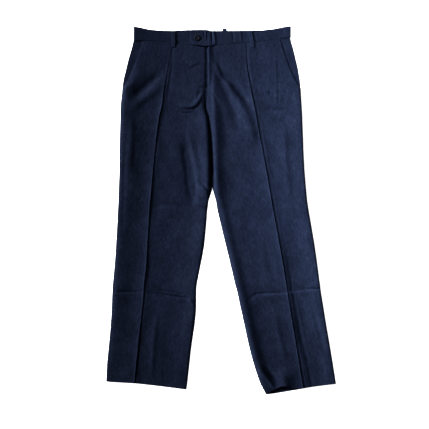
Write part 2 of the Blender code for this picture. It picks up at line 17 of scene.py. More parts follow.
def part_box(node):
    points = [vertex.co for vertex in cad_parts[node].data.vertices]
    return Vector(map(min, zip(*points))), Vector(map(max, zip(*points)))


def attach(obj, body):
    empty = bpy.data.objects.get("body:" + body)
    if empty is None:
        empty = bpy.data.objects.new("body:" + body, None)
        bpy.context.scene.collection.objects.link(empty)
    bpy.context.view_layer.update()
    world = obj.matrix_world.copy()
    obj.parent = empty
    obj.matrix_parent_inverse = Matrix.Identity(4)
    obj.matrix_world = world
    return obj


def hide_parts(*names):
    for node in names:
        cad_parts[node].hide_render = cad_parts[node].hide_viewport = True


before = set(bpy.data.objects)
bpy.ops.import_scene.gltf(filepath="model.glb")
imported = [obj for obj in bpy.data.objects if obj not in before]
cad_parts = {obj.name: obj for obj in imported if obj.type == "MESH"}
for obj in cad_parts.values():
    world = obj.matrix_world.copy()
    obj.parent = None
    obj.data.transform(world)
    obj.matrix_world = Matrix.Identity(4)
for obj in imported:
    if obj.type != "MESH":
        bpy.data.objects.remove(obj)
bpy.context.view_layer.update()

MM = 0.001

# The button's middle ties the tables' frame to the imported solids.
BUTTON_ACROSS = -43.5
BUTTON_DOWN = 25
BUTTON_LOW, BUTTON_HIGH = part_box("button_waist")
FRONT_X = (BUTTON_LOW[0] + BUTTON_HIGH[0]) / 2 - BUTTON_ACROSS * MM
WAIST_Y = (BUTTON_LOW[1] + BUTTON_HIGH[1]) / 2 + BUTTON_DOWN * MM

# The photograph: its size in pixels, what a pixel covers, and where the centre front meets the waist.
PHOTO_PIXELS = 429
PIXEL = 3 * MM
FRONT_PIXEL = 211.5
WAIST_PIXEL = 30
CAMERA_HEIGHT = 3.2
SENSOR = 36

# Walls: the fronts' and facings', the waistband's, a loop's and the backs', and how low a front's
# outer face may lie. Then their rounded rims.
CLOTH = 1.1
BAND = 1.8
LOOP = 1.3
BACK_OUTER = 1.35
LOWEST_FRONT = 2.8
RIM = 0.3
RIM_PART = 3
RIM_ANGLE = 62

# Steps from a piece's edge, or from a crease, at which its grid has lines, so that the edge can be
# rounded. A small piece has only the steps below its length over EDGE_PART.
EDGE_STEPS = (0, 0.4, 1.0, 1.8, 3.0, 4.6)
EDGE_PART = 2.5
CREASE_STEPS = (0.5, 1.2, 2.2, 3.4, 5.0)
CREASE_INSIDE = 30

# Lines across a panel on the two sides of its crease, and the steps between a grid's lines.
FRONT_LINES = (34, 42)
BACK_LINES = (12, 15)
FRONT_STEP = 2.8
BACK_STEP = 5
SMALL_STEP = 3
BAND_STEP = 1.4
LOOP_STEP = 1

# How a grid is read from a solid: within how far its points are one, how flat an outer face lies,
# how strongly a corner is sought along the longer way, how far a bent end reaches into a panel,
# how far off the reading starts, how often the facets are blended, and the least length that is
# divided by or stepped along a chain.
WELD_DECIMALS = 2
FACE_TILT = 0.5
CORNER_PULL = 5
BEND_FADE = 60
EYE_HEIGHT = 500
NEAR_HEIGHT = 5
SOLID_PASSES = 6
SMALL_PASSES = 2
BAND_PASSES = 90
TINY = 1e-12
SMALLEST_STEP = 1e-7

CREASE_COLUMNS = ("down", "right", "left")
RIGHT = CREASE_COLUMNS.index("right")
LEFT = CREASE_COLUMNS.index("left")
CREASES = (
    (20, -107, 104.5),
    (56, -117, 106),
    (84, -126, 106.5),
    (114, -131, 109),
    (150, -137, 115.5),
    (186, -143.5, 122),
    (222, -147, 130),
    (258, -156, 137),
    (324, -165, 149),
    (423, -175, 168),
    (510, -183, 183),
    (618, -190.5, 202.5),
    (714, -196, 219.5),
    (762, -202, 227),
    (828, -206, 237.5),
    (930, -218.5, 254.5),
    (996, -225, 265.5),
    (1070, -231.5, 277.5),
    (1100, -234, 282),
)

# A crease's height at its edge, its soft side's width, how wide its drop is, the height past the
# drop and how far that reaches: the solid's crease, the pressed one and the lip on its edge.
Crease = namedtuple("Crease", "rise soft drop past past_soft")
SOLID_CREASE = Crease(rise=2.6, soft=26, drop=6, past=-0.91, past_soft=26)
PRESSED_CREASE = Crease(rise=3.0, soft=11, drop=1.5, past=0.6, past_soft=16)
CREASE_LIP = Crease(rise=1.0, soft=2.6, drop=1.3, past=0, past_soft=1)

# Where each crease starts, the share of it above that, how far across the pressed one lies from the
# solid's, and the rise and length of its uneven places.
PLEAT_OPENS = (20, 150)
PLEAT_SEWN_SHARE = 0.15
CREASE_DEEPENS = (60, 300)
CREASE_TOP_SHARE = 0.2
PRESSED_SHIFT = {RIGHT: 0, LEFT: -3.5}
CREASE_WAVES = ((0.22, 37), (0.16, 83))

# The fronts' edges: how far inside a seam the cloth is kept up, how tightly it rolls over there and
# from which rows on, over what width folds fade out towards the seams and towards the pocket mouths,
# between which rows the mouths end, and how an edge is rounded.
TIGHT_FROM = 13
TIGHT_ROLL = 3
TIGHT_ROWS = (190, 230)
SEAM_CALM = 4
MOUTH_CALM = {RIGHT: 30, LEFT: 4}
MOUTH_LOW = (150, 190)
FRONT_ROLL = (0.35, 1.8)

# Folds of each front. Before and after are how far a fold spreads on the two sides of its path.
Fold = namedtuple("Fold", "rise before after path")
FOLD_LIFT = 2.4
FOLD_FADE = 0.28
PATH_STEPS = 7
RIGHT_FOLDS = (
    (1.5, 9, 34, (
        (-218, -120), (-242, 60), (-256, 180), (-262, 300), (-266, 510), (-282, 762), (-293, 930),
        (-304, 1120),
    )),
    (1.0, 9, 30, ((-198, -160), (-238, 40), (-256, 180), (-264, 330), (-266, 480))),
    (2.3, 24, 6, (
        (-16, 200), (-14, 300), (-9, 440), (-13, 510), (-22, 591), (-35, 690), (-49, 762), (-51, 828),
        (-64, 942), (-78, 1060), (-90, 1160),
    )),
    (-1.7, 13, 11, ((-140, 122), (-184, 162), (-214, 188), (-252, 214))),
    (1.0, 12, 11, ((-136, 160), (-180, 192), (-212, 216), (-252, 246))),
    (-0.5, 4, 6, ((-118, 20), (-118.5, 90), (-124.5, 150), (-134, 224))),
    (-0.6, 4, 3, ((-64, 116), (-50, 110), (-34, 103))),
    (0.4, 5, 5, ((-66, 108), (-50, 102), (-34, 96))),
    (1.2, 5, 8, ((-104, 220), (-84, 230), (-58, 231), (-40, 216), (-26, 184))),
    (-1.0, 3, 2.6, ((-108, 229), (-84, 238), (-58, 238), (-38, 226), (-26, 198))),
    (-0.9, 3, 2.6, ((-112, 243), (-86, 250), (-60, 248), (-42, 240))),
    (-1.0, 4, 4, ((-32, 180), (-38, 196), (-44, 212))),
    (1.9, 18, 8, ((-22, 178), (-24, 215), (-20, 250), (-12, 300), (-9, 380), (-7, 450), (-11, 520))),
    (-3.2, 15, 11, ((-82, 330), (-75, 362), (-66, 405), (-57, 470), (-51, 530))),
    (1.2, 9, 9, ((-70, 290), (-60, 350), (-46, 400), (-38, 462))),
    (-1.8, 3.2, 3.4, ((-44, 442), (-26, 462), (-13, 477), (6, 496))),
    (1.2, 4, 4, ((-34, 470), (-22, 482), (-10, 494))),
    (-1.7, 3.4, 3, ((-48, 496), (-26, 510), (-9, 519), (10, 528))),
    (1.6, 4, 4, ((-58, 518), (-34, 524), (-8, 532))),
    (-0.8, 8, 8, ((-184, 528), (-120, 526), (-40, 532))),
    (-1.3, 2.4, 2.2, ((-306, 786), (-212, 785), (-190, 788))),
    (0.6, 3.5, 3.5, ((-320, 792), (-230, 791), (-204, 793))),
    (-1.3, 2.4, 2.8, ((-212, 787), (-150, 792), (-112, 798), (-30, 809))),
    (-1.2, 2.2, 2.4, ((-170, 779), (-120, 786), (-68, 796))),
    (1.0, 3, 3, ((-160, 786), (-120, 792), (-70, 801))),
    (0.7, 3.5, 3.5, ((-150, 799), (-112, 805), (-30, 816))),
    (1.6, 5, 6, ((-70, 800), (-60, 815), (-50, 832))),
    (0.7, 7, 7, ((-160, 830), (-172, 930), (-180, 1060))),
    (-1.2, 2.4, 2.4, ((-44, 172), (-30, 174), (-16, 175), (-2, 175))),
    (-1.3, 5, 2.5, ((-13, 10), (-13, 60), (-13, 120), (-13, 172), (-12, 230))),
    (-0.6, 7, 7, ((-258, 300), (-262, 450), (-268, 640))),
    (0.7, 9, 9, ((-236, 240), (-240, 330), (-246, 430))),
)
LEFT_FOLDS = (
    (0.9, 5, 3.5, ((-7, -10), (-7, 40), (-6, 100), (-6, 160), (-5, 210))),
    (-0.5, 1.8, 4, ((2, 10), (3, 38), (7, 70), (8, 96), (7, 130))),
    (-0.5, 1.8, 3, ((3, 110), (1.5, 136), (1.5, 170), (1, 200))),
    (0.9, 3, 4, ((1, 160), (-8, 205), (-6, 240), (3, 300), (6, 380), (8, 450), (6, 520))),
    (-2.4, 11, 8, ((28, 118), (40, 138), (64, 152), (82, 178), (92, 196), (118, 232))),
    (1.6, 7, 7, ((4, 84), (20, 122), (32, 144), (54, 176), (76, 210))),
    (2.0, 7, 15, ((0, 60), (8, 240), (11, 300), (13, 380), (15, 440), (17, 490), (26, 560))),
    (2.5, 9, 15, (
        (12, 330), (15, 440), (17, 476), (25, 510), (42, 591), (57, 654), (82, 762), (98, 828),
        (123, 942), (158, 1060), (185, 1150),
    )),
    (1.3, 7, 48, ((4, 140), (8, 240), (13, 380), (14, 450), (28, 540))),
    (0.8, 7, 34, ((60, 690), (93.5, 828), (118.5, 942), (153.5, 1060), (180, 1150))),
    (2.6, 28, 6, (
        (258, 60), (265, 222), (270, 330), (281, 510), (305, 654), (320, 762), (330, 828), (349, 942),
        (368, 1060), (382, 1150),
    )),
    (-0.9, 4, 3, ((2, 190), (12, 204), (22, 220))),
    (1.6, 14, 12, ((64, 180), (94, 236), (118, 296), (128, 356))),
    (-2.1, 14, 12, ((10, 70), (24, 120), (40, 170), (56, 215), (74, 265), (92, 330))),
    (0.35, 3, 3, ((193, 60), (194, 150), (195, 246))),
    (-0.3, 3, 3, ((198, 60), (199, 150), (200, 246))),
    (-1.0, 4, 3, ((168, 184), (180, 190), (194, 196))),
    (-0.6, 5, 5, ((146, 238), (184, 241), (236, 239))),
    (-0.9, 5, 5, ((206, 262), (224, 279), (246, 286))),
    (0.7, 9, 9, ((214, 260), (226, 420), (242, 560))),
    (-1.0, 2.4, 2.0, ((96, 830), (122, 800), (138, 791), (217, 787), (250, 785))),
    (-1.2, 2.2, 2.4, ((224, 786), (256, 778), (318, 776), (356, 774))),
    (0.4, 3.5, 3.5, ((118, 822), (146, 799), (217, 795), (256, 787), (340, 783))),
    (-1.4, 9, 7, ((150, 1006), (176, 1030), (198, 1052), (216, 1076))),
    (1.7, 7, 5, ((140, 1012), (160, 1034), (180, 1062), (192, 1080))),
    (-0.8, 10, 7, ((302, 972), (316, 996), (334, 1018), (352, 1034))),
    (0.2, 2.5, 3, ((238, 640), (244, 740), (260, 831), (280, 933), (296, 993), (307, 1060), (320, 1200))),
    (-1.6, 9, 50, ((220, 610), (238, 740), (254, 831), (274, 933), (290, 993), (301, 1060), (314, 1200))),
    (-0.8, 9, 9, ((160, 620), (176, 700), (190, 760))),
    (0.8, 8, 8, ((190, 840), (206, 930), (226, 1010))),
    (-0.7, 7, 7, ((300, 820), (322, 900), (344, 990))),
)

# The waistband over the fly: its lifted lower edge, the puckers beside the button and the dip at the fly.
BAND_FOLDS = (
    (1.6, 5, 12, ((-70, 50), (-56, 47), (-38, 49), (-14, 51), (6, 50), (20, 48))),
    (-0.5, 2, 2, ((-23, -22), (-22, 4), (-20, 30))),
    (0.4, 2.2, 2.2, ((-18, -22), (-17.5, 4), (-17, 34))),
    (-0.4, 1.8, 1.8, ((-14, -10), (-13, 12), (-13, 38))),
    (-0.8, 2, 2.4, ((0, -26), (0.6, 4), (1, 24), (2, 50))),
    (0.8, 2.5, 3, ((6, -10), (6, 6), (9, 22), (12, 50))),
    (-0.6, 3, 3, ((62, -8), (64, 14), (66, 40))),
    (0.5, 3, 3, ((88, -8), (88, 14), (90, 40))),
)

# The right waistband's raised end at the hip.
BAND_END_FOLDS = ((1.2, 4, 60, ((-230, -60), (-230, 15), (-230, 90))),)

# Uneven cloth: how high its slow waves are, how many there are, how long they may be, and how close
# they lie down the cloth against across. Small pieces have lower ones, drawn from one seed.
WAVE_RISE = 0.22
WAVE_COUNT = 14
WAVE_LENGTHS = (38, 170)
WAVE_DOWN_SHARE = 0.5
SMALL_WAVES = 0.06
BAND_WAVES = 0.15
LOOP_WAVES = 0.03
SMALL_SEED = 5

# The rounded edges of small pieces: how far they drop and how far in they start.
SMALL_ROLL = (0.4, 1.6)
BAND_ROLL = (0.8, 2.4)
LOOP_ROLL = (0.8, 2.6)

# The hem: where its stitches run, how deep and wide they press, and how the turned cloth stands up.
HEM_STITCH = 17
HEM_STITCH_DEEP = 0.3
HEM_STITCH_HALF = 2.2
HEM_TURNED = 0.35
HEM_SOFT = 5

# The backs' grooves for the pressed crease and, half as deep, for the hem's stitches, and how far
# their top edges reach up against the waistband, so that no floor shows through the seam.
BACK_CREASE = 0.5
BACK_CREASE_HALF = 3
BACK_TUCK = 0.36
BACK_TUCK_REACH = 4

# The centre seam: where the fly and the seam end, and the seam's dip between them.
FLY_END = 174
SEAM_END = 480
SEAM_FADE = 20
SEAM_DIP = 7
SEAM_DIP_REACH = 4
SEAM_DIP_STARTS = (FLY_END - 20, FLY_END + 10)
SEAM_DIP_ENDS = 30

# Stitches and bar tacks. A mouth's stitches run between two rows at a distance inside its edge, and a
# tack at each end reaches from outside them to inside. The fly's follow a path.
STITCH_LENGTH = 2.6
STITCH_PITCH = 3.4
STITCH_RADIUS = 0.28
TACK_WIDTH = 1.8
TACK_PITCH = 0.42
TACK_LIFT = 0.1
THREAD_SIDES = 6
# Rings along a thread: their share of its length, their share of its radius and their lift.
THREAD_RINGS = ((0.1, 0.75, -0.3), (0.35, 1, 0.3), (0.65, 1, 0.3), (0.9, 0.75, -0.3))
MOUTH_EDGES = {"front_right": "left", "front_left": "right"}
MOUTH_STITCH = 5
MOUTH_STITCHED = (44, 160)
MOUTH_TACK = (3, 4)
FLY_STITCH = ((27, 46), (27, 80), (27, 118), (25, 140), (18, 158), (6, 170), (-7, 175))
FLY_TACK = ((-10, 170), (-2, 177))
LOOP_STITCH = 2.2
LOOP_STITCH_END = 3
LOOP_TACK_HALF = 4.5

# The button, with its half section from its sunk middle over the rim and down its outer side to its
# flat underside: each row gives shares of its radius and of its height.
BUTTON_RADIUS = 9
BUTTON_THICK = 2.8
BUTTON_SIDES = 72
BUTTON_HOLE = 1.0
BUTTON_HOLE_OUT = 2.1
BUTTON_HOLE_SIDES = 20
BUTTON_DRILL = 8
BUTTON_SHARP = 32
BUTTON_SECTION = (
    (0.5, 0.70),
    (0.57, 0.72),
    (0.62, 0.80),
    (0.68, 0.93),
    (0.75, 0.99),
    (0.82, 1.0),
    (0.89, 0.96),
    (0.95, 0.86),
    (0.985, 0.71),
    (1.0, 0.55),
    (0.985, 0.38),
    (0.93, 0.2),
    (0.8, 0.07),
    (0.6, 0.0),
)
# The threads through its holes: their places beside a hole's middle, half their length, their radius,
# and their height as a share of the button's and a lift over that.
BUTTON_THREADS = (-0.4, 0, 0.4)
BUTTON_THREAD_HALF = 2.4
BUTTON_THREAD_RADIUS = 0.24
BUTTON_THREAD_SEAT = 0.7
BUTTON_THREAD_LIFT = 0.25

# The zip's teeth: their middle across, one's width, length and height, the share of that length that
# is metal, how far it stands off the middle, its rounding, the pitch, and the rows that they fill.
ZIP_CENTRE = 1.2
TOOTH = (3.4, 1.5, 1.1)
TOOTH_SHARE = 0.62
TOOTH_OFF = 0.7
TOOTH_ROUND = 0.15
TOOTH_PITCH = 2.1
ZIP_TEETH = (54, 162)
ZIP_TOOTH_BASE = 3.9

# The wool: its tones, and the range of the noises that they spread over, its noises (repeats to a
# metre across and down, detail, roughness), its twill, the share that each of them has over those
# before it, its relief in metres, and its roughness, gloss and sheen.
DARK_THREAD = (0.0040, 0.0056, 0.0118)
MIDDLE_THREAD = (0.0098, 0.0136, 0.0262)
LIGHT_THREAD = (0.0212, 0.029, 0.054)
TONE_RANGE = (0.345, 0.675)
STREAK = ((400, 90, 1), 3, 0.6)
SLUB = ((140, 50, 1), 2, 0.5)
MOTTLE = ((26, 14, 1), 4, 0.6)
FIBRE = ((2000, 700, 1), 2, 0.5)
TWILL_SCALE = 760
TWILL_WAVER = 1.6
SLUB_SHARE = 0.35
MOTTLE_SHARE = 0.3
FIBRE_SHARE = 0.27
TWILL_SHARE = 0.12
RELIEF_STRENGTH = 0.5
RELIEF_SHARE = 0.5
TWILL_RELIEF = 0.00005
STREAK_RELIEF = 0.0001
WOOL_ROUGHNESS = 0.78
WOOL_SPECULAR = 0.02
WOOL_SHEEN = 0.002
WOOL_SHEEN_ROUGHNESS = 0.45
WOOL_SHEEN_TINT = (0.55, 0.66, 1, 1)

# Finishes that waver between two tones in a fine grain.
Grain = namedtuple("Grain", "dark light roughness specular metallic scale detail distortion")
GRAINS = {
    "thread": Grain((0.01, 0.014, 0.0275), (0.03, 0.042, 0.0825), 0.8, 0.04, 0, 1600, 1, 0),
    "button_horn": Grain((0.003, 0.0035, 0.005), (0.014, 0.016, 0.022), 0.4, 0.05, 0, 260, 3, 1.4),
    "zip_metal": Grain((0.21, 0.168, 0.098), (0.39, 0.312, 0.182), 0.4, 0.5, 1, 300, 2, 0),
    "zip_tape": Grain((0.007, 0.0084, 0.014), (0.013, 0.0156, 0.026), 0.9, 0.5, 0, 900, 2, 0),
}

# Lights, placed in metres. Size is a sun's angle or a spot's radius, and width a spot's, in degrees.
Light = namedtuple("Light", "kind place target energy size colour width")
LIGHTS = {
    "key": Light("SUN", (-5.2, 1.7, 1.9), (0, 0, 0), 10.8, 0.24, (1, 0.98, 0.95), None),
    "soft": Light("SPOT", (-1.8, 2.2, 2.4), (0.72, -0.08, 0), 2250, 0.25, (0.98, 0.99, 1), 22),
    "shin": Light("SPOT", (0.1, -0.25, 2.6), (-0.085, -0.19, 0), 190, 0.25, (0.98, 0.99, 1), 11),
}

# The floor, a little below the garment, and the light that comes from all round.
FLOOR_REACH = 40
FLOOR_DROP = 0.0002
FLOOR_COLOUR = (0.86, 0.86, 0.87)
FLOOR_ROUGHNESS = 0.9
FLOOR_GLOW = 0.7
SKY_COLOUR = (0.95, 0.97, 1, 1)
SKY_STRENGTH = 0.1


def garment(across, down):
    """World X and Y of a place on the garment."""
    return FRONT_X + across * MM, WAIST_Y - down * MM


def ramp(value, start, end):
    """0 before start, 1 after end, and a smooth rise between."""
    t = np.clip((value - start) / (end - start), 0, 1)
    return t * t * (3 - 2 * t)


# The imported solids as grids


def welded(node):
    """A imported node's points, in the tables' frame, and triangles, with points at one place made one."""
    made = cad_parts[node]
    mesh = made.data
    mesh.calc_loop_triangles()
    points = np.empty(len(mesh.vertices) * 3)
    mesh.vertices.foreach_get("co", points)
    faces = np.empty(len(mesh.loop_triangles) * 3, dtype=np.int64)
    mesh.loop_triangles.foreach_get("vertices", faces)
    world = np.array(made.matrix_world)
    points = points.reshape(-1, 3) @ world[:3, :3].T + world[:3, 3]
    local = np.stack([points[:, 0] - FRONT_X, WAIST_Y - points[:, 1], points[:, 2]], axis=1) / MM
    _, first, index = np.unique(
        np.round(local, WELD_DECIMALS), axis=0, return_index=True, return_inverse=True
    )
    faces = index.reshape(-1)[faces.reshape(-1, 3)]
    a, b, c = faces.T
    return local[first], faces[(a != b) & (b != c) & (a != c)]


def outer_face(points, faces, under):
    """The triangles of a wall's upper side, or of its lower one."""
    a, b, c = (points[faces[:, i]] for i in range(3))
    normals = np.cross(b - a, c - a)
    # Down runs against Y, which turns the triangles round.
    upward = -normals[:, 2] / np.maximum(np.linalg.norm(normals, axis=1), TINY)
    return faces[upward < -FACE_TILT] if under else faces[upward > FACE_TILT]


def outline(faces):
    """The point numbers round the edge of a group of triangles, in order."""
    ways = set(map(tuple, faces[:, [0, 1, 1, 2, 2, 0]].reshape(-1, 2).tolist()))
    follow = {a: b for a, b in ways if (b, a) not in ways}
    loops = []
    while follow:
        loop = [min(follow)]
        while follow.get(loop[-1]) is not None:
            loop.append(follow.pop(loop[-1]))
        loops.append(loop[:-1])
    return max(loops, key=len)


def sides(points, loop, upright):
    """The outline's four chains between its corners: left, right, upper and lower."""
    ring = points[loop]
    reach = (1, CORNER_PULL) if upright else (CORNER_PULL, 1)
    corner = {}
    for name, toward in {"ul": (-1, -1), "ll": (-1, 1), "lr": (1, 1), "ur": (1, -1)}.items():
        pull = ring[:, 0] * toward[0] * reach[0] + ring[:, 1] * toward[1] * reach[1]
        corner[name] = int(np.argmax(pull))

    def chain(a, b):
        count = len(ring)
        ahead = [(a + k) % count for k in range((b - a) % count + 1)]
        back = [(a - k) % count for k in range((a - b) % count + 1)]
        others = [i for i in corner.values() if i not in (a, b)]
        clear = [way for way in (ahead, back) if not any(i in way[1:-1] for i in others)]
        return ring[min(clear or [ahead, back], key=len)]

    return (
        chain(corner["ul"], corner["ll"]),
        chain(corner["ur"], corner["lr"]),
        chain(corner["ul"], corner["ur"]),
        chain(corner["ll"], corner["lr"]),
    )


def along(chain, axis, shares):
    """Points on a chain at shares of its reach along one axis."""
    gone = np.abs(chain[:, axis] - chain[0, axis])
    gone = np.maximum.accumulate(gone + np.arange(len(gone)) * SMALLEST_STEP)
    at = np.asarray(shares) * gone[-1]
    return np.stack([np.interp(at, gone, chain[:, k]) for k in range(3)], axis=-1)


def spaced(length, step):
    """Distances from 0 to a length, closer together at both ends."""
    start = [d for d in EDGE_STEPS if d < length / EDGE_PART]
    lines = max(2, round((length - 2 * start[-1]) / step) + 1)
    inner = np.linspace(start[-1], length - start[-1], lines)
    return np.concatenate([start[:-1], inner, [length - d for d in reversed(start[:-1])]])


def spaced_by_crease(length, crease, counts):
    """The same with lines close together at a crease, one of them on it."""
    crease = float(np.clip(crease, CREASE_INSIDE, length - CREASE_INSIDE))
    start = list(EDGE_STEPS)
    left = np.linspace(start[-1], crease - CREASE_STEPS[-1], counts[0])
    right = np.linspace(crease + CREASE_STEPS[-1], length - start[-1], counts[1])
    return np.concatenate(
        [
            start[:-1],
            left[:-1],
            [crease - d for d in reversed(CREASE_STEPS)],
            [crease],
            [crease + d for d in CREASE_STEPS],
            right[1:],
            [length - d for d in reversed(start[:-1])],
        ]
    )


def smoothed(heights, passes):
    """Heights with the facets of the solids blended away, their edges kept."""
    kept = heights.copy()
    for _ in range(passes):
        kept[1:-1] = (kept[2:] + 2 * kept[1:-1] + kept[:-2]) / 4
        kept[:, 1:-1] = (kept[:, 2:] + 2 * kept[:, 1:-1] + kept[:, :-2]) / 4
    return kept


def crease_at(side, down):
    """Where a leg's pressed crease lies across."""
    rows = np.array(CREASES)
    return np.interp(down, rows[:, 0], rows[:, side]) + PRESSED_SHIFT[side]


def height_on(tree, across, down, near=NEAR_HEIGHT, up=1):
    """A surface's height at a place, seen from above or below, or else that of its nearest place."""
    hit = tree.ray_cast(Vector((across, down, up * EYE_HEIGHT)), Vector((0, 0, -up)))[0]
    if hit is None:
        hit = tree.find_nearest(Vector((across, down, near)))[0]
    return hit[2]


class Grid:
    """Points over one node's outer face, rows down and columns across.

    It knows how far each point lies from the face's edges.
    """

    def __init__(self, node, step, crease=None, lines=None, upright=True, under=False, passes=SOLID_PASSES):
        points, faces = welded(node)
        face = outer_face(points, faces, under)
        left, right, upper, lower = sides(points, outline(face), upright)
        height = max(abs(left[-1, 1] - left[0, 1]), abs(right[-1, 1] - right[0, 1]))
        rows = spaced(height, step) / height
        start, end = along(left, 1, rows), along(right, 1, rows)
        widths = np.linalg.norm((end - start)[:, :2], axis=1)
        if crease is None:
            shares = np.array([spaced(widths.mean(), step) / widths.mean()] * len(rows))
        else:
            inside = crease_at(crease, (start[:, 1] + end[:, 1]) / 2) - start[:, 0]
            shares = np.array([spaced_by_crease(w, at, lines) / w for w, at in zip(widths, inside)])
        net = start[:, None] + (end - start)[:, None] * shares[:, :, None]
        gone = rows * height
        for chain, off in ((upper, gone), (lower, height - gone)):
            straight = chain[0] + (chain[-1] - chain[0]) * shares[:, :, None]
            bent = along(chain, 0, shares.reshape(-1)).reshape(*shares.shape, 3)
            pull = 1 - ramp(off, 0, BEND_FADE) if upright else 1 - off / height
            net += (bent - straight) * pull[:, None, None]
        tree = BVHTree.FromPolygons(points.tolist(), face.tolist())
        for place in net.reshape(-1, 3):
            place[2] = height_on(tree, *place, up=-1 if under else 1)
        net[:, :, 2] = smoothed(net[:, :, 2], passes)
        self.net = net
        self.rows, self.columns = net.shape[:2]
        self.across, self.down, self.height = (net[:, :, k] for k in range(3))
        self.threads = self.across - (0 if crease is None else crease_at(crease, self.down))
        self.from_left = shares * widths[:, None]
        self.from_right = (1 - shares) * widths[:, None]
        self.from_top = np.repeat(gone[:, None], self.columns, axis=1)
        self.from_bottom = height - self.from_top

    def roll(self, drop, reach):
        """Rounds the edges over."""
        for off in (self.from_left, self.from_right, self.from_top, self.from_bottom):
            share = np.clip(off / reach, 0, 1)
            self.height -= drop * (1 - np.sqrt(np.clip(1 - (1 - share) ** 2, 0, 1)))

    def faces(self):
        """The four-sided faces between the grid's points, which are numbered row by row."""
        first = np.arange(self.rows - 1)[:, None] * self.columns + np.arange(self.columns - 1)
        first = first.reshape(-1)
        return np.stack([first, first + self.columns, first + self.columns + 1, first + 1], axis=1)

    def surface(self):
        """A tree of the face, from which heights are read."""
        return BVHTree.FromPolygons(self.net.reshape(-1, 3).tolist(), self.faces().tolist())

    def area(self):
        """The face's area in square metres."""
        a = self.net[1:, :-1] - self.net[:-1, :-1]
        b = self.net[:-1, 1:] - self.net[:-1, :-1]
        c = self.net[1:, :-1] - self.net[1:, 1:]
        d = self.net[:-1, 1:] - self.net[1:, 1:]
        one = np.linalg.norm(np.cross(a, b), axis=2) + np.linalg.norm(np.cross(c, d), axis=2)
        return float(one.sum() / 2) * MM * MM

    def cut(self):
        """The width and length of the cloth that the face needs, in metres."""
        across = np.linalg.norm(np.diff(self.net, axis=1), axis=2).sum(axis=1).max()
        down = np.linalg.norm(np.diff(self.net, axis=0), axis=2).sum(axis=0).max()
        return float(across) * MM, float(down) * MM


def fine_path(path):
    """A fold's path with a smooth curve through its points."""
    points = np.array(path, float)
    ends = np.vstack([2 * points[0] - points[1], points, 2 * points[-1] - points[-2]])
    made = []
    for a, b, c, d in zip(ends, ends[1:], ends[2:], ends[3:]):
        for t in np.linspace(0, 1, PATH_STEPS)[:-1]:
            square, cube = 2 * a - 5 * b + 4 * c - d, 3 * b - a - 3 * c + d
            made.append((2 * b + (c - a) * t + square * t**2 + cube * t**3) / 2)
    return np.array([*made, points[-1]])


def from_path(path, across, down):
    """Each place's distance from a path, below zero on its left side, and its share of the way along."""
    steps = np.linalg.norm(np.diff(path, axis=0), axis=1)
    starts = np.concatenate([[0], np.cumsum(steps)])
    best = np.full(across.shape, np.inf)
    signed = np.zeros(across.shape)
    share = np.zeros(across.shape)
    for k, length in enumerate(steps):
        way = (path[k + 1] - path[k]) / length
        x, y = across - path[k][0], down - path[k][1]
        gone = np.clip(x * way[0] + y * way[1], 0, length)
        off = np.hypot(x - gone * way[0], y - gone * way[1])
        closer = off < best
        best = np.where(closer, off, best)
        signed = np.where(closer, np.where(x * way[1] - y * way[0] > 0, off, -off), signed)
        share = np.where(closer, (starts[k] + gone) / starts[-1], share)
    return signed, share


def add_folds(grid, folds):
    """Raises ridges and sinks troughs along the folds' paths. A fold fades out at both ends."""
    for row in folds:
        fold = Fold(*row)
        off, share = from_path(fine_path(fold.path), grid.across, grid.down)
        spread = np.where(off < 0, fold.before, fold.after)
        fade = ramp(share, 0, FOLD_FADE) * ramp(1 - share, 0, FOLD_FADE)
        grid.height += FOLD_LIFT * fold.rise * fade * np.exp(-((off / spread) ** 2))


def crease_profile(off, crease):
    """Heights across a crease: a rise up to its edge, a drop, and what is left of the height past it."""
    up = crease.rise * np.exp(np.minimum(off, 0) / crease.soft)
    down = crease.rise + (crease.past - crease.rise) * np.clip(off / crease.drop, 0, 1)
    gone = crease.past * np.exp(-np.maximum(off - crease.drop, 0) / crease.past_soft)
    return np.where(off <= 0, up, np.where(off < crease.drop, down, gone))


def add_crease(grid, side):
    """The pressed crease: the solid's plain step goes, and a sharp edge with two soft flanks comes there."""
    off = grid.threads
    sewn = PLEAT_SEWN_SHARE + (1 - PLEAT_SEWN_SHARE) * ramp(grid.down, *PLEAT_OPENS)
    grid.height -= sewn * crease_profile(off + PRESSED_SHIFT[side], SOLID_CREASE)
    pressed = CREASE_TOP_SHARE + (1 - CREASE_TOP_SHARE) * ramp(grid.down, *CREASE_DEEPENS)
    (rise, length), (slow_rise, slow_length) = CREASE_WAVES
    uneven = 1 + rise * np.sin(grid.down / length + side) + slow_rise * np.sin(grid.down / slow_length)
    grid.height += pressed * uneven * (crease_profile(off, PRESSED_CREASE) + crease_profile(off, CREASE_LIP))


def tighten(grid, edge, share_of_rows):
    """Keeps the cloth up to near a seam and rolls it over tightly there, where a row's share is 1."""
    off = getattr(grid, "from_" + edge)
    for i in range(grid.rows):
        order = np.argsort(off[i])
        low = grid.height[i][order[0]]
        inner = np.interp(TIGHT_FROM, off[i][order], grid.height[i][order])
        rolled = low + (inner - low) * np.sin(np.clip(off[i] / TIGHT_ROLL, 0, 1) * math.pi / 2)
        lift = np.where(off[i] < TIGHT_FROM, np.maximum(rolled - grid.height[i], 0), 0)
        grid.height[i] += lift * share_of_rows[i]


def add_waves(grid, seed, rise=WAVE_RISE):
    """Slow uneven waves, such as cloth keeps where it lies."""
    draw = np.random.default_rng(seed)
    for _ in range(WAVE_COUNT):
        length = draw.uniform(*WAVE_LENGTHS)
        turn = draw.uniform(0, math.pi)
        phase = draw.uniform(0, 2 * math.pi)
        across = math.cos(turn) * 2 * math.pi / length
        down = WAVE_DOWN_SHARE * math.sin(turn) * 2 * math.pi / length
        grid.height += rise / 2 * np.sin(grid.across * across + grid.down * down + phase)


# Meshes


